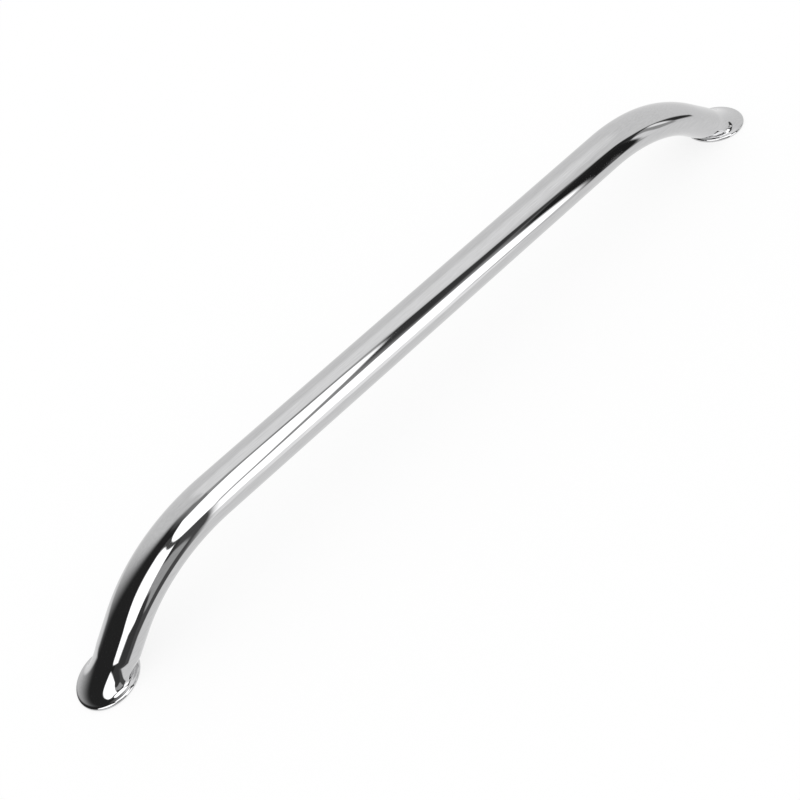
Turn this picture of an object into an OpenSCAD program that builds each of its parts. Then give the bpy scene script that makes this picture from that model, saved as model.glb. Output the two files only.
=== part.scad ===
// Boat grab rail: one bent stainless tube welded to two flared cast feet.
// The bends draw the round tube oval, and the legs stay oval down to the feet.
// Each foot is closed underneath by a disc that carries a tapped bush.
// The rail runs along X, the feet stand on Z = 0, the origin is midway between them.

/* [Rail] */
// Distance between the two fixing centres
fixing_centres = 457; // [380:1:640]
// Outside diameter of the tube
tube_d = 22; // [20:0.1:24]
// Wall thickness of the tube
tube_wall = 1.5; // [1:0.1:2]
// Angle of each bend, which is also the slope of the legs above the deck
leg_angle = 40.3; // [38:0.1:44]
// Radius of the two bends, on the tube's centre line
bend_r = 102; // [90:1:130]
// Length of a leg's straight stretch, from the bend to the deck
leg_len = 31.6; // [30:0.1:36]
// Width of the oval leg across the rail, as a share of the tube's diameter
wide_share = 1.19; // [1:0.01:1.22]
// Depth of the oval leg in the plane of the bend, as a share of the tube's diameter
deep_share = 0.82; // [0.8:0.01:1]
// Length of straight tube that the bend draws oval with it
oval_lead = 18; // [5:1:40]

/* [Feet] */
// Diameter of a foot where it meets the deck
foot_d = 33; // [32:0.1:40]
// Length of a foot casting along the leg, from the deck to the tube's end
foot_len = 22.5; // [21.5:0.1:23]
// Height of the foot's upright edge above the deck
rim_h = 1.3; // [0.8:0.1:2]
// Radius that turns the edge under, next to the deck
rim_under_r = 0.6; // [0.3:0.1:0.7]
// How far up the edge bends the flare upright
rim_crown = 0.3; // [0.2:0.1:2]
// Share of the casting's height that the flare takes up, from the edge
flare_share = 0.63; // [0.5:0.01:1]
// Share of the flare's height at which it still leans along the leg
lean_share = 0.97; // [0.9:0.01:0.98]
// Wall of the spigot that enters the tube
spigot_wall = 2.2; // [2:0.1:2.5]
// Length of the spigot
spigot_len = 8; // [6:0.1:8.5]

/* [Fixings] */
// Diameter of the closing disc under each foot
disc_d = 22; // [20:0.5:23]
// Thickness of the closing disc
disc_t = 2; // [1.5:0.1:2]
// Recess of the disc behind the deck face, filled with sealant when fitted
disc_inset = 0.4; // [0.3:0.1:0.5]
// Outside diameter of the tapped bush
bush_d = 9; // [8:0.1:9.5]
// Length of the tapped bush
bush_len = 7.4; // [6:0.1:7.5]
// Height of the bush's top bevel
bush_bevel = 1.6; // [1.4:0.1:1.8]
// Hole before tapping, 5 for an M6 thread
tap_d = 5; // [4.2:0.1:5.1]
// Depth of the countersink at the mouth of the thread
tap_lead = 0.6; // [0.4:0.1:0.8]
// Welding clearance round the disc, the bush and the spigot
weld_gap = 0.1; // [0.05:0.05:0.15]

/* [Hidden] */
$fn = 96;

// Faces round the tube, and steps along each bend and its lead
tube_sides = 48;
bend_steps = 14;
lead_steps = 3;
// Faces round a foot and along its flare
foot_sides = 64;
flare_rings = 18;
under_rings = 3;
// Overrun that keeps cutting tools clear of the faces they cut
over = 1;

tube_r = tube_d / 2;
foot_r = foot_d / 2;
half_span = fixing_centres / 2;
axis_h = bend_r * (1 - cos(leg_angle)) + leg_len * sin(leg_angle);
half_straight = half_span - bend_r * sin(leg_angle) - leg_len * cos(leg_angle);
bend_run = bend_r * leg_angle * PI / 180;

// Half depth and half width of the oval leg, then of the spigot and the spigot's bore
leg_oval = tube_r * [deep_share, wide_share];
spigot_oval = leg_oval - (tube_wall + weld_gap) * [1, 1];
bore_oval = spigot_oval - spigot_wall * [1, 1];

disc_top = disc_inset + disc_t;
bush_top = disc_inset + bush_len;
bush_r = bush_d / 2;
bush_bevel_r = bush_r - bush_bevel;

steel = [0.78, 0.79, 0.80];
inner_steel = [0.62, 0.63, 0.64];

// Both ends of the part are made alike and facing each other
module at_left() { translate([-half_span, 0, 0]) children(); }
module at_right() { mirror([1, 0, 0]) at_left() children(); }

// ---- Rings that the tube and the feet are drawn through ----

// Angles round a ring, starting from its upper side
function turns(sides) = [for (i = [0 : sides - 1]) 360 * i / sides];

// An oval ring square to a centre line that slopes up to +X by slope degrees
function oval_ring(centre, slope, oval, sides) = [for (turn = turns(sides))
    centre + [-oval[0] * sin(slope) * cos(turn), oval[1] * sin(turn), oval[0] * cos(slope) * cos(turn)]];

// Joins ring to ring into one skin, and its last ring to its first where it is a closed loop
function skin_faces(count, sides, loop) = [
    for (j = [0 : count - (loop ? 1 : 2)]) for (i = [0 : sides - 1])
        let (a = j * sides + i, b = j * sides + (i + 1) % sides,
             c = (j + 1) % count * sides + i, d = (j + 1) % count * sides + (i + 1) % sides)
        each [[a, d, b], [a, c, d]]];

// A solid through a stack of rings, with a flat cap at each end
module loft(rings) {
    sides = len(rings[0]);
    last = (len(rings) - 1) * sides;
    caps = [[for (i = [0 : sides - 1]) i], [for (i = [sides - 1 : -1 : 0]) last + i]];
    polyhedron(points = [for (ring = rings) each ring],
               faces = concat(skin_faces(len(rings), sides, false), caps));
}

// ---- Tube ----

// How far the section has gone from round to oval, 0 to 1, at a distance from the bend's start
function drawn(distance) =
    let (t = max(0, min(1, (distance + oval_lead) / (bend_run + oval_lead)))) t * t * (3 - 2 * t);

// Half depth and half width of the tube's skin at that distance, less the wall for its bore
function tube_oval(distance, wall) =
    tube_r * [1, 1] * (1 - drawn(distance)) + leg_oval * drawn(distance) - wall * [1, 1];

// One station of the left half: its distance from the bend's start, centre and slope
function lead_station(t) = [-oval_lead * (1 - t), [-half_straight + oval_lead * (1 - t), 0, axis_h], 0];
function bend_station(t) = [bend_run * t,
    [-half_straight - bend_r * sin(leg_angle * t), 0, axis_h - bend_r * (1 - cos(leg_angle * t))],
    leg_angle * t];
function leg_end_station() = [bend_run + leg_len - foot_len,
    [-half_span + foot_len * cos(leg_angle), 0, foot_len * sin(leg_angle)], leg_angle];

function left_stations() = concat(
    [for (j = [0 : lead_steps - 1]) lead_station(j / lead_steps)],
    [for (j = [0 : bend_steps]) bend_station(j / bend_steps)],
    [leg_end_station()]);

// The same stations at the right, from the leg's end back to the middle
function right_stations() = [for (s = reversed(left_stations()))
    [s[0], [-s[1].x, 0, s[1].z], -s[2]]];

function reversed(list) = [for (i = [len(list) - 1 : -1 : 0]) list[i]];

function tube_rings(wall) = [for (s = concat(right_stations(), left_stations()))
    oval_ring(s[1], s[2], tube_oval(s[0], wall), tube_sides)];

// The skin from right to left and the bore from left to right make one closed loop
module rail_tube() {
    rings = concat(tube_rings(0), reversed(tube_rings(tube_wall)));
    color(steel) polyhedron(points = [for (ring = rings) each ring],
                            faces = skin_faces(len(rings), tube_sides, true));
}

// ---- Foot casting ----

// A ring on the leg's own line, at a distance up the leg from the deck
function leg_ring(distance, oval) =
    oval_ring(distance * [cos(leg_angle), 0, sin(leg_angle)], leg_angle, oval, foot_sides);

// A level circle of the foot
function foot_ring(radius, height) =
    [for (turn = turns(foot_sides)) [-radius * cos(turn), radius * sin(turn), height]];

function bezier(a, b, c, d, t) =
    pow(1 - t, 3) * a + 3 * t * pow(1 - t, 2) * b + 3 * t * t * (1 - t) * c + pow(t, 3) * d;

// A point on the leg's skin, moved down the leg until its height over the edge is that share of what it was
function down_leg(point, share) =
    point - (1 - share) * (point.z - rim_h) / sin(leg_angle) * [cos(leg_angle), 0, sin(leg_angle)];

// Each rib of the flare leaves the leg's skin along the leg and comes down on the foot's edge
function flare_ring(t) =
    let (top = leg_ring(foot_len, leg_oval), crown = foot_ring(foot_r, rim_h + rim_crown),
         edge = foot_ring(foot_r, rim_h))
    [for (i = [0 : foot_sides - 1])
        let (start = down_leg(top[i], flare_share))
        bezier(start, down_leg(start, 1 - lean_share), crown[i], edge[i], t)];

// Below the edge the foot turns under through a quarter round
function under_ring(t) =
    foot_ring(foot_r - rim_under_r * (1 - cos(90 * t)), rim_under_r * (1 - sin(90 * t)));

function foot_rings() = concat(
    [leg_ring(foot_len + spigot_len, spigot_oval), leg_ring(foot_len, spigot_oval),
     leg_ring(foot_len, leg_oval)],
    [for (j = [0 : flare_rings]) flare_ring(j / flare_rings)],
    [for (j = [0 : under_rings]) under_ring(j / under_rings)]);

// The flared casting, with a spigot for the tube and pockets for the disc and the bush
module foot() {
    color(steel) difference() {
        loft(foot_rings());
        loft([leg_ring(foot_len + spigot_len + over, bore_oval), leg_ring(0, bore_oval)]);
        translate([0, 0, -over]) cylinder(d = disc_d + 2 * weld_gap, h = disc_top + over);
        bush_pocket();
    }
}

// Drilled from below, with a cone at its end that keeps clear of the foot's toe
module bush_pocket() {
    rotate_extrude() polygon([
        [0, disc_inset], [bush_r + weld_gap, disc_inset],
        [bush_r + weld_gap, bush_top - bush_bevel + weld_gap],
        [bush_bevel_r + weld_gap, bush_top + weld_gap], [0, bush_top + weld_gap]]);
}

module left_foot() { at_left() foot(); }
module right_foot() { at_right() foot(); }

// ---- Closing disc and tapped bush ----

module base_disc() {
    color(inner_steel) translate([0, 0, disc_inset]) difference() {
        cylinder(d = disc_d, h = disc_t);
        translate([0, 0, -over]) cylinder(r = bush_r + weld_gap, h = disc_t + 2 * over);
    }
}

module threaded_bush() {
    tap_r = tap_d / 2;
    color(inner_steel) rotate_extrude() polygon([
        [tap_r + tap_lead, disc_inset], [bush_r, disc_inset], [bush_r, bush_top - bush_bevel],
        [bush_bevel_r, bush_top], [tap_r, bush_top], [tap_r, disc_inset + tap_lead]]);
}

module left_base_disc() { at_left() base_disc(); }
module right_base_disc() { at_right() base_disc(); }
module left_threaded_bush() { at_left() threaded_bush(); }
module right_threaded_bush() { at_right() threaded_bush(); }

rail_tube();
left_foot();
right_foot();
left_base_disc();
right_base_disc();
left_threaded_bush();
right_threaded_bush();
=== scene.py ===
"""Looks of the boat grab rail: a polished oval-drawn tube, two flared feet, and what closes them underneath.

Every length is in metres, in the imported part's own frame: X along the rail, Z up, the feet on Z = 0.
"""

from __future__ import annotations

import logging
import math
from dataclasses import dataclass
from enum import Enum
from typing import Sequence

import bpy
from mathutils import Matrix, Vector

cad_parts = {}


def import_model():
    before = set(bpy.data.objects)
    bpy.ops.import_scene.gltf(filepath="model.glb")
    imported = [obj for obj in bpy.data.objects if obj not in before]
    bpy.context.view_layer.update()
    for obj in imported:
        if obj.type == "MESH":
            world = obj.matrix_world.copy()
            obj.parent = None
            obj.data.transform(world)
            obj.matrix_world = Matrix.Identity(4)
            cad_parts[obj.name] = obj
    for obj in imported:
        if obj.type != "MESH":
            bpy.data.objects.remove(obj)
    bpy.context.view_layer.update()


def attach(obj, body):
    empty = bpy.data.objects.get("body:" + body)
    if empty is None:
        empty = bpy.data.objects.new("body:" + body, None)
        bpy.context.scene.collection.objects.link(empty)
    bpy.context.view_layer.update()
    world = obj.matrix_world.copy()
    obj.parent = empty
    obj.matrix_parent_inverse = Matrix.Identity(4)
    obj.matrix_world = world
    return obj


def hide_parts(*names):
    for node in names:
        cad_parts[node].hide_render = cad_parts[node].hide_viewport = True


log = logging.getLogger("grab_rail")

MM = 0.001
DEGREES = 180 / math.pi
WHITE = (1.0, 1.0, 1.0, 1.0)
# Headings in the studio run through one turn and end here, in degrees
LAST_HEADING = 90.0
# Below these, two sizes or two angles count as the same, and two rings as one
SAME = 1e-9
JOIN_DISTANCE = 1e-6
MIRROR_JOIN_DISTANCE = 1e-5


class Slot(Enum):
    """Finishes named in the record."""

    POLISHED = "polished_steel"
    UNDERSIDE = "underside_steel"
    TURNED = "turned_steel"


class End(Enum):
    """The two ends of the rail, each with the side of X that it stands on."""

    LEFT = -1
    RIGHT = 1

    @property
    def word(self) -> str:
        """The end's name as the CAD nodes spell it."""
        return self.name.lower()


# ---- Shader helpers ----


class NodeSketch:
    """Adds nodes to one tree and wires them, so that a finish reads as a recipe."""

    def __init__(self, tree: bpy.types.NodeTree) -> None:
        """Starts from an empty tree."""
        self.tree = tree
        tree.nodes.clear()

    def add(self, kind: str, values: dict[str | int, object] | None = None, **settings: object) -> bpy.types.Node:
        """Adds one node.

        Args:
            kind: The node's type, such as ShaderNodeMath.
            values: Each input's name or place, with a number, a vector or the socket that feeds it.
            settings: Properties of the node, such as its operation.

        Returns:
            The new node.
        """
        node = self.tree.nodes.new(kind)
        for name, setting in settings.items():
            setattr(node, name, setting)
        for name, value in (values or {}).items():
            socket = node.inputs[name]
            if isinstance(value, bpy.types.NodeSocket):
                self.tree.links.new(value, socket)
            else:
                socket.default_value = value
        return node

    def math(self, operation: str, *values: object, clamp: bool = False) -> bpy.types.NodeSocket:
        """Adds a Math node and returns its result.

        Args:
            operation: The operation's name.
            values: Numbers or sockets, in the order of the node's inputs.
            clamp: Whether the result is kept between 0 and 1.

        Returns:
            The result socket.
        """
        node = self.add("ShaderNodeMath", dict(enumerate(values)), operation=operation, use_clamp=clamp)
        return node.outputs[0]

    def blend(self, share: object, start: object, end: object) -> bpy.types.NodeSocket:
        """Mixes two numbers and returns the mixture."""
        node = self.add("ShaderNodeMix", {0: share, 2: start, 3: end}, data_type="FLOAT")
        return node.outputs[0]


def node_group(
    name: str, inputs: Sequence[tuple[str, str, object]], outputs: Sequence[tuple[str, str]]
) -> tuple[bpy.types.NodeTree, NodeSketch, bpy.types.Node, bpy.types.Node]:
    """Starts a shader node group.

    Args:
        name: The group's name.
        inputs: For each input, its name, socket type and default value.
        outputs: For each output, its name and socket type.

    Returns:
        The group, a sketch of its tree, its input node and its output node.
    """
    group = bpy.data.node_groups.new(name, "ShaderNodeTree")
    for label, kind, default in inputs:
        socket = group.interface.new_socket(name=label, in_out="INPUT", socket_type=kind)
        socket.default_value = default
    for label, kind in outputs:
        group.interface.new_socket(name=label, in_out="OUTPUT", socket_type=kind)
    sketch = NodeSketch(group)
    return group, sketch, sketch.add("NodeGroupInput"), sketch.add("NodeGroupOutput")


# ---- Studio ----


@dataclass(frozen=True)
class Panel:
    """A soft-edged patch of the studio, as the steel sees it from the rail.

    Corners are (heading, height) in degrees, round a shape with no inward corner. Heading turns from +X
    towards +Y and runs from -270 to 90, height is above the horizon, and a level of 1 is white paper.
    Softness is the width of the edge in degrees: one for all sides, or one for each, where a side goes
    from its own corner to the next.
    """

    name: str
    level: float
    softness: float | tuple[float, ...]
    corners: tuple[tuple[float, float], ...]

    def sides(self) -> list[tuple[Vector, float]]:
        """Draws the panel's sides as lines on the chart of headings and heights.

        Returns:
            For each side, its heading weight, height weight and offset, positive inside, and its softness.
        """
        count = len(self.corners)
        soft = self.softness if isinstance(self.softness, tuple) else (self.softness,) * count
        following = self.corners[1:] + self.corners[:1]
        turn = sum(a[0] * b[1] - b[0] * a[1] for a, b in zip(self.corners, following))
        sides = []
        for a, b, width in zip(self.corners, following, soft):
            along = Vector((b[0] - a[0], b[1] - a[1])).normalized() * math.copysign(1.0, turn)
            sides.append((Vector((-along.y, along.x, along.y * a[0] - along.x * a[1])), width))
        return sides


STUDIO_PANELS = (
    Panel("floor all round", 0.86, 14, ((-320, -12), (140, -12), (140, -120), (-320, -120))),
    Panel("horizon", 0.82, 16, ((-320, -16), (140, -16), (140, 52), (-320, 52))),
    Panel("back wall", 0.78, 20, ((-260, -14), (-260, 92), (-190, 92), (-190, -14))),
    Panel(
        "ceiling",
        0.26,
        (24, 8, 12, 16, 12, 20),
        ((-212, 68), (-186, 85), (-72, 85), (-47, 76), (-47, 60), (-140, 58)),
    ),
    Panel("ceiling over the front", 0.44, 8, ((-84, 74), (-84, 83), (-60, 83), (-56, 76))),
    Panel(
        "end wall",
        0.024,
        (40, 40, 30, 16, 10, 8, 8, 8),
        ((-246, -10), (-237, 23), (-223, 53), (-210, 73), (-140, 73), (-120, 50), (-110, 30), (-116, -1)),
    ),
    Panel("overhead softbox, left", 1.9, (7, 3, 3, 2), ((-139, 60.5), (-139, 69.5), (-84, 70.5), (-84, 13))),
    Panel(
        "overhead softbox, right",
        1.9,
        (3, 7, 4, 3, 3, 3),
        ((-86, 70.5), (-66, 71.5), (-57, 62), (-60, 54), (-66.2, 44.5), (-86, 12)),
    ),
    Panel(
        "behind the camera",
        0.09,
        (2, 2, 2, 2, 2, 2, 2, 3, 4, 4, 4, 8),
        (
            (-166, 57), (-150, 61), (-140, 60.3), (-129, 52.8), (-118, 44.5), (-109, 37),
            (-98, 26.5), (-87.5, 15), (-85.5, -12), (-84.5, -37), (-88, -37), (-160, 0),
        ),
    ),
    Panel(
        "far floor",
        0.44,
        (3, 3, 3, 3, 3, 3, 3, 5, 3),
        ((-131, 30), (-112, 27), (-102, 15.5), (-95.5, 4), (-92, -8), (-90, -20), (-89, -35), (-112, -9), (-131, -8)),
    ),
    Panel(
        "lamp stand",
        0.055,
        4,
        ((-162, 14), (-137, 17), (-126, 17.5), (-120, 12.5), (-117, 2), (-119, -6), (-126, -8.5), (-162, 0)),
    ),
    Panel("camera", 0.05, 4, ((-119, 30), (-112, 36), (-107, 33), (-104, 26), (-108, 22), (-115, 24))),
    Panel(
        "end softbox",
        1.9,
        (3, 6, 8, 5, 4, 2, 2, 2, 3, 3, 3),
        (
            (-171, 12), (-176, 33), (-174, 42), (-168, 50), (-162, 55), (-149, 56),
            (-141, 54), (-130, 47.5), (-113, 36), (-138, 11), (-150, 11),
        ),
    ),
    Panel("front gap", 0.36, (4, 3, 4, 4, 4), ((-88, 10), (-84.5, 17.5), (-66, 45.5), (-54, 45.5), (-54, 10))),
    Panel("front gap, deep", 0.055, (10, 3, 4, 4, 14), ((-71, 25), (-71, 37), (-66, 45), (-52, 45), (-52, 25))),
    Panel(
        "dark backdrop",
        0.05,
        (2, 2, 2, 3, 8, 5, 5),
        ((-70, 38), (-66.3, 44.5), (-62.2, 50.7), (-59, 55.2), (-55.5, 60), (-50, 61), (-53.3, 38)),
    ),
    Panel("lit floor", 1.18, (6, 6, 6, 6, 14), ((-84, -18), (-58, -18), (-56, -26), (-62, -36), (-84, -36))),
    Panel(
        "front softbox",
        1.9,
        (3, 3, 3, 3, 3, 2.5, 2, 2, 3, 5),
        (
            (-85, 12), (-80, 16.5), (-76, 19.5), (-70, 20.5), (-66, 18.5),
            (-63, 14), (-60.5, 2), (-56.5, -19), (-58, -21), (-85, -17),
        ),
    ),
    Panel("floor shadow", 0.66, 3.5, ((-67, -17.5), (-64, -18), (-52, -28), (-52, -32), (-64, -23.5))),
    Panel(
        "dark side",
        0.018,
        (2, 2, 2, 2, 3, 4, 3, 4),
        ((-62, 16), (-60.4, 3), (-58.5, -9), (-56.5, -19), (-53, -30), (-51.5, -32), (-51.5, 24), (-60, 24)),
    ),
    Panel(
        "dark corner",
        0.035,
        (6, 7, 7, 5, 3, 4, 4),
        ((-55, 23), (-46, 20.5), (-31, 14), (-19, 7), (-12, 0), (-15, -2.5), (-52, -2.5)),
    ),
    Panel("dark corner, top", 0.025, (5, 5, 5, 5), ((-57, 28.5), (-51, 27), (-45, 19), (-57, 14))),
    Panel(
        "corner grey",
        0.38,
        3.5,
        ((-50.5, 6), (-47, 10.5), (-42, 13), (-36, 13), (-32.5, 8), (-33, 0), (-38, -8), (-46, -13), (-51, -8)),
    ),
    Panel("corner lamp", 1.15, 3.5, ((-42, 8), (-40, 13), (-36, 12), (-34, 6), (-36, -1), (-40, 0))),
    Panel("light strip", 0.92, 2, ((-52.5, 3), (-50.5, 6), (-47.5, 3), (-47.5, -14), (-50, -22), (-52, -22))),
)


@dataclass
class Studio:
    """The room round the rail: white paper to the camera, softboxes and dark gaps to the steel.

    floor_own_light is the share of the floor that is plain white whatever falls on it.
    """

    panels: tuple[Panel, ...] = STUDIO_PANELS
    floor_size: float = 6.0
    floor_drop: float = 0.05 * MM
    floor_own_light: float = 0.8

    def build(self) -> None:
        """Makes the world and the floor."""
        self._world()
        self._floor()
        log.info("studio: %d panels and a floor", len(self.panels))

    def _edge_group(self) -> bpy.types.NodeTree:
        """Builds the group that tells how far inside one side of a panel a direction lies.

        Returns:
            The group, which puts out 0 outside, 1 inside and a smooth step between.
        """
        group, sketch, given, out = node_group(
            "panel_side",
            [
                ("Chart", "NodeSocketVector", (0, 0, 0)),
                ("Side", "NodeSocketVector", (0, 0, 0)),
                ("Softness", "NodeSocketFloat", 4.0),
            ],
            [("Inside", "NodeSocketFloat")],
        )
        depth = sketch.add(
            "ShaderNodeVectorMath", {0: given.outputs["Chart"], 1: given.outputs["Side"]}, operation="DOT_PRODUCT"
        )
        share = sketch.math("DIVIDE", depth.outputs["Value"], given.outputs["Softness"])
        half = sketch.math("ADD", share, 0.5)
        ramp = sketch.add("ShaderNodeMapRange", {"Value": half}, interpolation_type="SMOOTHSTEP")
        sketch.tree.links.new(ramp.outputs["Result"], out.inputs["Inside"])
        return group

    def _chart(self, sketch: NodeSketch) -> bpy.types.NodeSocket:
        """Turns the seen direction into a place on the chart.

        Args:
            sketch: The world's tree.

        Returns:
            The socket of (heading, height, 1), in degrees.
        """
        seen = sketch.add("ShaderNodeTexCoord").outputs["Generated"]
        parts = sketch.add("ShaderNodeSeparateXYZ", {0: seen})
        turn = sketch.math("ARCTAN2", parts.outputs["Y"], parts.outputs["X"])
        turned = sketch.math("MULTIPLY", turn, DEGREES)
        beyond = sketch.math("GREATER_THAN", turned, LAST_HEADING)
        heading = sketch.math("SUBTRACT", turned, sketch.math("MULTIPLY", beyond, 360.0))
        height = sketch.math("MULTIPLY", sketch.math("ARCSINE", parts.outputs["Z"]), DEGREES)
        return sketch.add("ShaderNodeCombineXYZ", {0: heading, 1: height, 2: 1.0}).outputs[0]

    def _world(self) -> None:
        """Builds the world: plain white to the camera and the floor, the panels to the steel."""
        world = bpy.data.worlds.new("studio")
        world.use_nodes = True
        bpy.context.scene.world = world
        sketch = NodeSketch(world.node_tree)
        edge = self._edge_group()
        chart = self._chart(sketch)
        level: object = 1.0
        for panel in self.panels:
            mask: object = 1.0
            for line, softness in panel.sides():
                node = sketch.add("ShaderNodeGroup", node_tree=edge)
                sketch.tree.links.new(chart, node.inputs["Chart"])
                node.inputs["Side"].default_value = line
                node.inputs["Softness"].default_value = softness
                mask = sketch.math("MULTIPLY", mask, node.outputs["Inside"])
            level = sketch.blend(mask, level, panel.level)
        path = sketch.add("ShaderNodeLightPath")
        paper = sketch.add("ShaderNodeBackground", {"Color": WHITE, "Strength": 1.0})
        room = sketch.add("ShaderNodeBackground", {"Color": WHITE, "Strength": level})
        seen = sketch.add(
            "ShaderNodeMixShader", {0: path.outputs["Is Glossy Ray"], 1: paper.outputs[0], 2: room.outputs[0]}
        )
        sketch.add("ShaderNodeOutputWorld", {"Surface": seen.outputs[0]})

    def _floor(self) -> None:
        """Lays a white floor that keeps a faint shadow of the rail and is clear from below."""
        bpy.ops.object.select_all(action="DESELECT")
        bpy.ops.mesh.primitive_plane_add(size=self.floor_size, location=(0, 0, -self.floor_drop))
        floor = bpy.context.object
        floor.name = "floor"
        floor.visible_glossy = False
        paper = bpy.data.materials.new("white_paper")
        paper.use_nodes = True
        sketch = NodeSketch(paper.node_tree)
        path = sketch.add("ShaderNodeLightPath")
        matt = sketch.add("ShaderNodeBsdfDiffuse", {"Color": WHITE})
        own = sketch.add("ShaderNodeEmission", {"Color": WHITE, "Strength": 1.0})
        share = sketch.math("MULTIPLY", path.outputs["Is Camera Ray"], self.floor_own_light)
        both = sketch.add("ShaderNodeMixShader", {0: share, 1: matt.outputs[0], 2: own.outputs[0]})
        below = sketch.add("ShaderNodeNewGeometry").outputs["Backfacing"]
        clear = sketch.add("ShaderNodeBsdfTransparent")
        sheet = sketch.add("ShaderNodeMixShader", {0: below, 1: both.outputs[0], 2: clear.outputs[0]})
        sketch.add("ShaderNodeOutputMaterial", {"Surface": sheet.outputs[0]})
        floor.data.materials.append(paper)


@dataclass(frozen=True)
class Viewpoint:
    """Where the camera stands, as seen from the point that it looks at."""

    aim: tuple[float, float, float] = (-37.5 * MM, -11.4 * MM, 19.6 * MM)
    distance: float = 498.8 * MM
    heading: float = -22.86
    elevation: float = 45.13
    roll: float = -25.58
    lens: float = 44.6

    def build(self) -> bpy.types.Object:
        """Makes the camera and sets it as the scene's.

        Returns:
            The camera.
        """
        turn = (
            Matrix.Rotation(math.radians(self.heading), 4, "Z")
            @ Matrix.Rotation(math.radians(90 - self.elevation), 4, "X")
            @ Matrix.Rotation(math.radians(self.roll), 4, "Z")
        )
        data = bpy.data.cameras.new("camera")
        data.lens = self.lens
        data.sensor_width = 36.0
        data.clip_start, data.clip_end = 0.01, 20.0
        camera = bpy.data.objects.new("camera", data)
        bpy.context.scene.collection.objects.link(camera)
        camera.matrix_world = Matrix.Translation(self.aim) @ turn @ Matrix.Translation((0, 0, self.distance))
        bpy.context.scene.camera = camera
        return camera


# ---- Finishes ----

# Hairlines are drawn out along the rail, and the clouds of unevenness are not
HAIRLINE_STRETCH = (0.05, 1.0, 1.0)
CLOUDS_PER_METRE = 60.0
LEAST_ROUGHNESS_SHARE = 0.1


def polish_marks_group() -> bpy.types.NodeTree:
    """Builds the group for the hairlines and the slight unevenness that polishing leaves along the rail.

    Returns:
        The group, which puts out a roughness, a height, and a shade from 0 to 1.
    """
    group, sketch, given, out = node_group(
        "polish_marks",
        [
            ("Roughness", "NodeSocketFloat", 0.03),
            ("Unevenness", "NodeSocketFloat", 0.5),
            ("Hairline Spacing", "NodeSocketFloat", 0.0005),
        ],
        [("Roughness", "NodeSocketFloat"), ("Height", "NodeSocketFloat"), ("Shade", "NodeSocketFloat")],
    )
    place = sketch.add("ShaderNodeTexCoord").outputs["Object"]
    stretched = sketch.add("ShaderNodeMapping", {"Vector": place, "Scale": HAIRLINE_STRETCH})
    fineness = sketch.math("DIVIDE", 1.0, given.outputs["Hairline Spacing"])
    lines = sketch.add(
        "ShaderNodeTexNoise", {"Vector": stretched.outputs[0], "Scale": fineness, "Detail": 2.0, "Roughness": 0.6}
    )
    cloud = sketch.add(
        "ShaderNodeTexNoise", {"Vector": place, "Scale": CLOUDS_PER_METRE, "Detail": 2.0, "Roughness": 0.5}
    )
    hairlines = sketch.math("SUBTRACT", lines.outputs["Fac"], 0.5)
    clouds = sketch.math("SUBTRACT", cloud.outputs["Fac"], 0.5)
    both = sketch.math("ADD", hairlines, clouds)
    change = sketch.math("MULTIPLY", both, given.outputs["Unevenness"])
    factor = sketch.math("MAXIMUM", sketch.math("ADD", change, 1.0), LEAST_ROUGHNESS_SHARE)
    rough = sketch.math("MULTIPLY", given.outputs["Roughness"], factor)
    sketch.tree.links.new(rough, out.inputs["Roughness"])
    sketch.tree.links.new(hairlines, out.inputs["Height"])
    sketch.tree.links.new(lines.outputs["Fac"], out.inputs["Shade"])
    return group


@dataclass(frozen=True)
class SteelFinish:
    """One finish of the stainless steel.

    colour is what the metal sends back of white light, roughness is its blur, and the rest says how
    uneven the polish is, how far apart its hairlines are, how deep they cut and how much they shade.
    """

    name: str
    slot: Slot
    colour: tuple[float, float, float]
    roughness: float
    unevenness: float
    hairline_spacing: float
    hairline_depth: float
    hairline_shade: float

    def make(self, marks: bpy.types.NodeTree) -> bpy.types.Material:
        """Builds the material.

        Args:
            marks: The shared group of polishing marks.

        Returns:
            The material.
        """
        steel = bpy.data.materials.new(self.name)
        steel.use_nodes = True
        sketch = NodeSketch(steel.node_tree)
        worn = sketch.add("ShaderNodeGroup", node_tree=marks)
        worn.inputs["Roughness"].default_value = self.roughness
        worn.inputs["Unevenness"].default_value = self.unevenness
        worn.inputs["Hairline Spacing"].default_value = self.hairline_spacing
        bump = sketch.add(
            "ShaderNodeBump",
            {"Height": worn.outputs["Height"], "Distance": self.hairline_depth, "Strength": 1.0},
        )
        dull, bright = (
            (*(min(1.0, level * (1 + change)) for level in self.colour), 1.0)
            for change in (-self.hairline_shade, self.hairline_shade)
        )
        shaded = sketch.add("ShaderNodeMix", {0: worn.outputs["Shade"], 6: dull, 7: bright}, data_type="RGBA")
        shader = sketch.add(
            "ShaderNodeBsdfPrincipled",
            {
                "Base Color": shaded.outputs[2],
                "Metallic": 1.0,
                "Roughness": worn.outputs["Roughness"],
                "Normal": bump.outputs["Normal"],
            },
        )
        sketch.add("ShaderNodeOutputMaterial", {"Surface": shader.outputs[0]})
        return steel


MIRROR = SteelFinish(
    name="mirror_polished_steel",
    slot=Slot.POLISHED,
    colour=(0.63, 0.63, 0.635),
    roughness=0.03,
    unevenness=0.8,
    hairline_spacing=0.5 * MM,
    hairline_depth=0.0 * MM,
    hairline_shade=0.16,
)
BRUSHED = SteelFinish(
    name="brushed_disc_steel",
    slot=Slot.UNDERSIDE,
    colour=(0.52, 0.52, 0.53),
    roughness=0.33,
    unevenness=0.9,
    hairline_spacing=0.3 * MM,
    hairline_depth=0.004 * MM,
    hairline_shade=0.10,
)
TURNED = SteelFinish(
    name="turned_bush_steel",
    slot=Slot.TURNED,
    colour=(0.57, 0.57, 0.58),
    roughness=0.22,
    unevenness=0.9,
    hairline_spacing=0.2 * MM,
    hairline_depth=0.002 * MM,
    hairline_shade=0.08,
)


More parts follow.
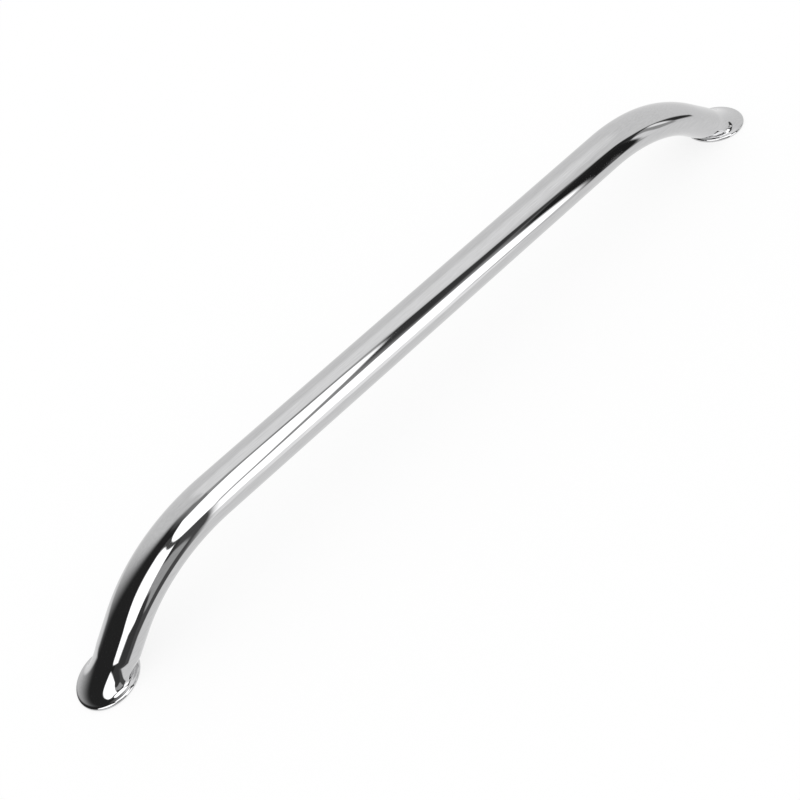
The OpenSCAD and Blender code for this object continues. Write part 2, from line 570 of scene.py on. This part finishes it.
# ---- Modelling by hand ----

# Edges that turn by more than this stay crisp, in degrees
CRISP_ANGLE = 30.0
FOOT_CRISP_ANGLE = 40.0


@dataclass(frozen=True)
class Ring:
    """An oval ring across the rail, centred on Y = 0.

    x and z place its centre, lean is the angle of its depth axis from upright towards -X, and depth and
    width are its half sizes along that axis and along Y.
    """

    x: float
    z: float
    lean: float
    depth: float
    width: float

    def centre(self) -> Vector:
        """The ring's centre."""
        return Vector((self.x, 0.0, self.z))


@dataclass
class RingModeller:
    """Models a piece by extruding an oval ring from place to place."""

    sides: int = 128

    def model(self, name: str, rings: Sequence[Ring], closed: bool = False) -> bpy.types.Object:
        """Draws a skin through the rings, in order.

        Args:
            name: The new object's name.
            rings: Where the ring goes, one after another.
            closed: Whether the last ring meets the first.

        Returns:
            The object, with its place in its mesh.
        """
        bpy.ops.object.select_all(action="DESELECT")
        first = rings[0]
        bpy.ops.mesh.primitive_circle_add(vertices=self.sides, radius=1.0, location=(0, 0, 0))
        piece = bpy.context.object
        piece.name = name
        bpy.ops.object.mode_set(mode="EDIT")
        bpy.ops.mesh.select_all(action="SELECT")
        self._move(Ring(0.0, 0.0, 90.0, 1.0, 1.0), first)
        for last, ring in zip(rings, rings[1:]):
            bpy.ops.mesh.extrude_edges_move()
            self._move(last, ring)
        if closed:
            bpy.ops.mesh.select_all(action="SELECT")
            bpy.ops.mesh.remove_doubles(threshold=JOIN_DISTANCE)
        bpy.ops.mesh.select_all(action="SELECT")
        bpy.ops.mesh.normals_make_consistent(inside=False)
        bpy.ops.object.mode_set(mode="OBJECT")
        return piece

    def _move(self, last: Ring, ring: Ring) -> None:
        """Carries the selected ring from one place to the next.

        Args:
            last: Where the ring is.
            ring: Where it goes.
        """
        centre = last.centre()
        if abs(ring.lean - last.lean) > SAME:
            turn = math.radians(ring.lean - last.lean)
            bpy.ops.transform.rotate(value=turn, orient_axis="Y", center_override=centre)
        depth, width = ring.depth / last.depth, ring.width / last.width
        if abs(depth - 1) > SAME or abs(width - 1) > SAME:
            bpy.ops.transform.resize(value=(depth, width, depth), center_override=centre)
        bpy.ops.transform.translate(value=ring.centre() - centre)


def select_only(piece: bpy.types.Object) -> None:
    """Makes one object the only selected and the active one.

    Args:
        piece: The object.
    """
    bpy.ops.object.select_all(action="DESELECT")
    piece.select_set(True)
    bpy.context.view_layer.objects.active = piece


def mirrored(piece: bpy.types.Object, name: str) -> bpy.types.Object:
    """Copies a piece to the other end of the rail.

    Args:
        piece: The piece at one end.
        name: The copy's name.

    Returns:
        The copy, with its own mesh.
    """
    copy = piece.copy()
    copy.data = piece.data.copy()
    copy.name = name
    bpy.context.scene.collection.objects.link(copy)
    select_only(copy)
    bpy.ops.object.mode_set(mode="EDIT")
    bpy.ops.mesh.select_all(action="SELECT")
    bpy.ops.transform.resize(value=(-1, 1, 1), center_override=(0, 0, 0))
    bpy.ops.mesh.flip_normals()
    bpy.ops.object.mode_set(mode="OBJECT")
    return copy


def finish_piece(
    piece: bpy.types.Object, steel: bpy.types.Material, slot: Slot, smooth_angle: float, *nodes: str
) -> None:
    """Smooths and dresses a piece, and says what it stands for.

    Args:
        piece: The piece.
        steel: Its material.
        slot: The record's finish, which is not used.
        smooth_angle: Edges sharper than this, in degrees, stay crisp.
        nodes: The CAD nodes that it replaces.
    """
    select_only(piece)
    bpy.ops.object.shade_smooth_by_angle(angle=math.radians(smooth_angle))
    piece.data.materials.clear()
    piece.data.materials.append(steel)
    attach(piece, "root")
    if nodes:
        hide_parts(*nodes)
    log.info("%s: %d faces, for %s", piece.name, len(piece.data.polygons), ", ".join(nodes) or "no node")


# ---- The rail ----


@dataclass(frozen=True)
class RailLine:
    """The rail's driving sizes and the centre line that they draw."""

    half_span: float = 228.5 * MM
    tube_r: float = 11.0 * MM
    wall: float = 1.5 * MM
    slope: float = 40.3
    bend_r: float = 102.0 * MM
    leg_len: float = 31.6 * MM
    wide_share: float = 1.19
    deep_share: float = 0.82
    oval_lead: float = 18.0 * MM
    foot_len: float = 22.5 * MM

    @property
    def sin(self) -> float:
        """Sine of the slope of the legs."""
        return math.sin(math.radians(self.slope))

    @property
    def cos(self) -> float:
        """Cosine of the slope of the legs."""
        return math.cos(math.radians(self.slope))

    @property
    def axis_h(self) -> float:
        """Height of the tube's centre line over the deck."""
        return self.bend_r * (1 - self.cos) + self.leg_len * self.sin

    @property
    def half_straight(self) -> float:
        """Half the length of the straight run."""
        return self.half_span - self.bend_r * self.sin - self.leg_len * self.cos

    @property
    def bend_run(self) -> float:
        """Length of one bend along its centre line."""
        return self.bend_r * math.radians(self.slope)

    @property
    def leg_depth(self) -> float:
        """Half depth of the oval leg."""
        return self.tube_r * self.deep_share

    @property
    def leg_width(self) -> float:
        """Half width of the oval leg."""
        return self.tube_r * self.wide_share

    def drawn(self, distance: float) -> float:
        """Tells how far the section has gone from round to oval.

        Args:
            distance: Distance from the bend's start, positive towards the foot.

        Returns:
            The share, 0 to 1.
        """
        share = (distance + self.oval_lead) / (self.bend_run + self.oval_lead)
        share = max(0.0, min(1.0, share))
        return share * share * (3 - 2 * share)

    def ring(self, distance: float) -> Ring:
        """Places the tube's section in the left half of the rail.

        Args:
            distance: Distance from the left bend's start, positive towards the foot.

        Returns:
            The section's ring.
        """
        share = self.drawn(distance)
        depth = self.tube_r + (self.leg_depth - self.tube_r) * share
        width = self.tube_r + (self.leg_width - self.tube_r) * share
        turn = math.degrees(max(0.0, min(distance, self.bend_run)) / self.bend_r)
        past = max(0.0, distance - self.bend_run)
        across, drop = math.sin(math.radians(turn)), 1 - math.cos(math.radians(turn))
        x = -self.half_straight + max(0.0, -distance) - self.bend_r * across - past * self.cos
        z = self.axis_h - self.bend_r * drop - past * self.sin
        return Ring(x, z, turn, depth, width)

    def on_leg(self, distance: float, depth: float, width: float) -> Ring:
        """An oval ring square to the left leg, at a distance up the leg from the deck."""
        return Ring(-self.half_span + distance * self.cos, distance * self.sin, self.slope, depth, width)


@dataclass
class RailTube:
    """The bent tube, round in its straight run and oval in its legs."""

    line: RailLine
    modeller: RingModeller
    lead_rings: int = 12
    bend_rings: int = 72

    def build(self) -> bpy.types.Object:
        """Models the left half and its bore, and mirrors them.

        Returns:
            The tube.
        """
        line = self.line
        end = line.bend_run + line.leg_len - line.foot_len
        stops = [-line.half_straight]
        stops += [-line.oval_lead * (1 - j / self.lead_rings) for j in range(self.lead_rings)]
        stops += [line.bend_run * j / self.bend_rings for j in range(self.bend_rings + 1)]
        stops.append(end)
        piece = self.modeller.model("grab_tube", [line.ring(stop) for stop in stops])
        select_only(piece)
        twin = piece.modifiers.new("other half", "MIRROR")
        twin.use_axis = (True, False, False)
        twin.merge_threshold = MIRROR_JOIN_DISTANCE
        bpy.ops.object.modifier_apply(modifier=twin.name)
        bpy.ops.object.mode_set(mode="EDIT")
        bpy.ops.mesh.select_all(action="SELECT")
        bpy.ops.mesh.normals_make_consistent(inside=False)
        bpy.ops.object.mode_set(mode="OBJECT")
        wall = piece.modifiers.new("wall", "SOLIDIFY")
        wall.thickness = line.wall
        wall.offset = -1.0
        wall.use_even_offset = True
        bpy.ops.object.modifier_apply(modifier=wall.name)
        return piece


@dataclass
class FootCasting:
    """The flared foot, from the spigot inside the tube down to its turned-under edge."""

    line: RailLine
    modeller: RingModeller
    foot_r: float = 16.5 * MM
    edge_h: float = 2.2 * MM
    under_r: float = 0.6 * MM
    flare_share: float = 0.69
    lean_share: float = 0.8
    lean_draw: float = 1.5 * MM
    shoulder_in: float = 2.5 * MM
    shoulder_rise: float = 0.5 * MM
    round_in: float = 1.2 * MM
    round_drop: float = 1.3 * MM
    gap: float = 0.1 * MM
    spigot_wall: float = 2.2 * MM
    spigot_len: float = 8.0 * MM
    recess_r: float = 11.1 * MM
    recess_h: float = 2.4 * MM
    bore_start: float = 0.75
    chamfer: float = 0.4 * MM
    straight_rings: int = 4
    flare_rings: int = 44
    flare_gather: float = 1.6
    round_rings: int = 10
    under_rings: int = 8

    def build(self) -> bpy.types.Object:
        """Models the left foot.

        Returns:
            The foot.
        """
        return self.modeller.model("left_flared_foot", self.rings(), closed=True)

    def rings(self) -> list[Ring]:
        """Places the foot's rings: spigot, leg, flare, edge, recess, and back up the bore.

        Returns:
            The rings, the last where the first is.
        """
        line = self.line
        spigot = (line.leg_depth - line.wall - self.gap, line.leg_width - line.wall - self.gap)
        bore = (spigot[0] - self.spigot_wall, spigot[1] - self.spigot_wall)
        top = line.foot_len + self.spigot_len
        rings = [
            line.on_leg(top, *bore),
            line.on_leg(top, spigot[0] - self.chamfer, spigot[1] - self.chamfer),
            line.on_leg(top - self.chamfer, *spigot),
            line.on_leg(line.foot_len, *spigot),
            line.on_leg(line.foot_len, line.leg_depth, line.leg_width),
        ]
        for j in range(1, self.straight_rings + 1):
            rings.append(self._flare(0.0, j / self.straight_rings))
        for j in range(1, self.flare_rings + 1):
            rings.append(self._flare(1 - (1 - j / self.flare_rings) ** self.flare_gather, 1.0))
        rings += [self._rounding(j / self.round_rings) for j in range(1, self.round_rings + 1)]
        rings.append(self._level(self.foot_r, self.under_r))
        for j in range(1, self.under_rings + 1):
            turn = math.radians(90 * j / self.under_rings)
            radius = self.foot_r - self.under_r * (1 - math.cos(turn))
            rings.append(self._level(radius, self.under_r * (1 - math.sin(turn))))
        rings += [self._level(self.recess_r, 0.0), self._level(self.recess_r, self.recess_h)]
        sink = self.recess_h / line.sin
        rings.append(Ring(-line.half_span + sink * line.cos, self.recess_h, 90.0, bore[0] / line.sin, bore[1]))
        rings.append(line.on_leg(line.foot_len * self.bore_start, *bore))
        rings.append(line.on_leg(top, *bore))
        return rings

    def _level(self, radius: float, height: float) -> Ring:
        """A level circle of the left foot."""
        return Ring(-self.line.half_span, height, 90.0, radius, radius)

    def _rounding(self, t: float) -> Ring:
        """Places one circle of the rounding between the flare and the upright edge.

        Args:
            t: How far along the rounding, 0 to 1.

        Returns:
            The ring.
        """
        inner = self.foot_r - self.round_in
        fall = self.round_in * self.shoulder_rise / (self.shoulder_in - self.round_in)
        start, middle, end = (1 - t) ** 2, 2 * t * (1 - t), t * t
        radius = start * inner + (middle + end) * self.foot_r
        return self._level(radius, self.edge_h - middle * fall - end * self.round_drop)

    def _flare(self, t: float, down: float) -> Ring:
        """One ring of the casting's skin.

        Args:
            t: How far along the flare, 0 to 1.
            down: How far down the straight stretch above the flare, 0 to 1.

        Returns:
            The ring.
        """
        line = self.line
        share = 1 - (1 - self.flare_share) * down
        start = self._down_leg(share)
        centre, axis, width = self._down_leg(self.flare_share * (1 - self.lean_share))
        lean = (centre, axis + Vector((self.lean_draw, 0.0)), width - self.lean_draw)
        broad, inner = self.foot_r - self.shoulder_in, self.foot_r - self.round_in
        crown = (Vector((-line.half_span, self.edge_h + self.shoulder_rise)), Vector((-broad, 0.0)), broad)
        edge = (Vector((-line.half_span, self.edge_h)), Vector((-inner, 0.0)), inner)
        weights = ((1 - t) ** 3, 3 * t * (1 - t) ** 2, 3 * t * t * (1 - t), t**3)
        parts = (start, lean, crown, edge)
        centre = sum((w * p[0] for w, p in zip(weights, parts)), Vector((0.0, 0.0)))
        axis = sum((w * p[1] for w, p in zip(weights, parts)), Vector((0.0, 0.0)))
        width = sum(w * p[2] for w, p in zip(weights, parts))
        return Ring(centre.x, centre.y, math.degrees(math.atan2(-axis.x, axis.y)), axis.length, width)

    def _down_leg(self, share: float) -> tuple[Vector, Vector, float]:
        """The shoulder's ring, slid down the leg's skin until each point keeps that share of its height.

        Args:
            share: Share of the height over the edge that is kept.

        Returns:
            The ring's centre and depth axis as (x, z), and its half width.
        """
        line = self.line
        centre = Vector((line.foot_len * line.cos, line.foot_len * line.sin))
        axis = Vector((-line.leg_depth * line.sin, line.leg_depth * line.cos))
        slide = Vector((line.cos, line.sin)) / line.sin
        centre -= (1 - share) * (centre.y - self.edge_h) * slide
        axis -= (1 - share) * axis.y * slide
        return centre + Vector((-line.half_span, 0.0)), axis, line.leg_width


@dataclass
class Closure:
    """What closes a foot underneath: a disc, its tapped bush, and the weld beads that hold them.

    groove_mouth and groove_root are half widths of a thread groove, as shares of its pitch.
    """

    line: RailLine
    modeller: RingModeller
    disc_r: float = 11.0 * MM
    disc_t: float = 2.0 * MM
    inset: float = 0.4 * MM
    bush_r: float = 4.5 * MM
    bush_len: float = 7.4 * MM
    bush_bevel: float = 1.6 * MM
    tap_r: float = 2.5 * MM
    tap_lead: float = 0.6 * MM
    thread_r: float = 3.0 * MM
    thread_pitch: float = 1.0 * MM
    thread_turns: int = 5
    groove_mouth: float = 0.44
    groove_root: float = 0.06
    gap: float = 0.1 * MM
    edge_break: float = 0.25 * MM
    bead_r: float = 0.45 * MM
    bead_height: float = 0.6
    bead_sides: tuple[int, int] = (96, 16)

    def _lathe(self, name: str, profile: Sequence[tuple[float, float]]) -> bpy.types.Object:
        """Turns a closed profile about the left foot's upright axis.

        Args:
            name: The piece's name.
            profile: The profile's corners as (radius, height), one after another.

        Returns:
            The piece.
        """
        loop = [*profile, profile[0]]
        rings = [Ring(-self.line.half_span, height, 90.0, radius, radius) for radius, height in loop]
        return self.modeller.model(name, rings, closed=True)

    def disc(self) -> bpy.types.Object:
        """Models the left disc with its edges broken.

        Returns:
            The disc.
        """
        low, high, brk = self.inset, self.inset + self.disc_t, self.edge_break
        hole = self.bush_r + self.gap
        profile = [
            (hole + brk, low), (self.disc_r - brk, low), (self.disc_r, low + brk),
            (self.disc_r, high), (hole, high), (hole, low + brk),
        ]
        return self._lathe("left_closing_disc", profile)

    def bush(self) -> bpy.types.Object:
        """Models the left bush, its thread cut as grooves one pitch apart.

        Returns:
            The bush.
        """
        low, high, brk = self.inset, self.inset + self.bush_len, self.edge_break
        profile = [
            (self.bush_r - brk, low), (self.bush_r, low + brk), (self.bush_r, high - self.bush_bevel),
            (self.bush_r - self.bush_bevel, high), (self.tap_r, high),
        ]
        for turn in range(self.thread_turns, 0, -1):
            middle = low + self.tap_lead + turn * self.thread_pitch
            for radius, rise in (
                (self.tap_r, self.groove_mouth),
                (self.thread_r, self.groove_root),
                (self.thread_r, -self.groove_root),
                (self.tap_r, -self.groove_mouth),
            ):
                profile.append((radius, middle + rise * self.thread_pitch))
        profile += [(self.tap_r, low + self.tap_lead), (self.tap_r + self.tap_lead, low)]
        return self._lathe("left_tapped_bush", profile)

    def bead(self, name: str, radius: float) -> bpy.types.Object:
        """Models one weld bead round the left foot's axis.

        Args:
            name: The bead's name.
            radius: Radius of the joint that it covers.

        Returns:
            The bead.
        """
        bpy.ops.object.select_all(action="DESELECT")
        around, across = self.bead_sides
        bpy.ops.mesh.primitive_torus_add(
            major_radius=radius,
            minor_radius=self.bead_r,
            major_segments=around,
            minor_segments=across,
            location=(0, 0, 0),
        )
        piece = bpy.context.object
        piece.name = name
        bpy.ops.object.mode_set(mode="EDIT")
        bpy.ops.mesh.select_all(action="SELECT")
        bpy.ops.transform.resize(value=(1, 1, self.bead_height), center_override=(0, 0, 0))
        bpy.ops.transform.translate(value=(-self.line.half_span, 0, self.inset))
        bpy.ops.object.mode_set(mode="OBJECT")
        return piece


def main() -> None:
    """Builds the scene and reports each piece."""
    logging.basicConfig(level=logging.INFO, format="%(name)s: %(message)s")
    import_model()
    scene = bpy.context.scene
    scene.view_settings.view_transform = "Standard"
    Viewpoint().build()
    Studio().build()

    marks = polish_marks_group()
    mirror = MIRROR.make(marks)
    line = RailLine()
    modeller = RingModeller()
    tube = RailTube(line, modeller).build()
    finish_piece(tube, mirror, MIRROR.slot, CRISP_ANGLE, "rail_tube")
    left = FootCasting(line, modeller).build()
    right = mirrored(left, "right_flared_foot")
    finish_piece(left, mirror, MIRROR.slot, FOOT_CRISP_ANGLE, "left_foot")
    finish_piece(right, mirror, MIRROR.slot, FOOT_CRISP_ANGLE, "right_foot")

    brushed, turned = BRUSHED.make(marks), TURNED.make(marks)
    closure = Closure(line, modeller)
    for piece, steel, slot, *nodes in (
        (closure.disc(), brushed, BRUSHED.slot, "base_disc"),
        (closure.bush(), turned, TURNED.slot, "threaded_bush"),
        (closure.bead("left_disc_weld", closure.disc_r), brushed, BRUSHED.slot),
        (closure.bead("left_bush_weld", closure.bush_r), brushed, BRUSHED.slot),
    ):
        twin = mirrored(piece, piece.name.replace("left", "right"))
        for end, made in ((End.LEFT, piece), (End.RIGHT, twin)):
            finish_piece(made, steel, slot, CRISP_ANGLE, *(f"{end.word}_{node}" for node in nodes))


if __name__ == "__main__":
    main()
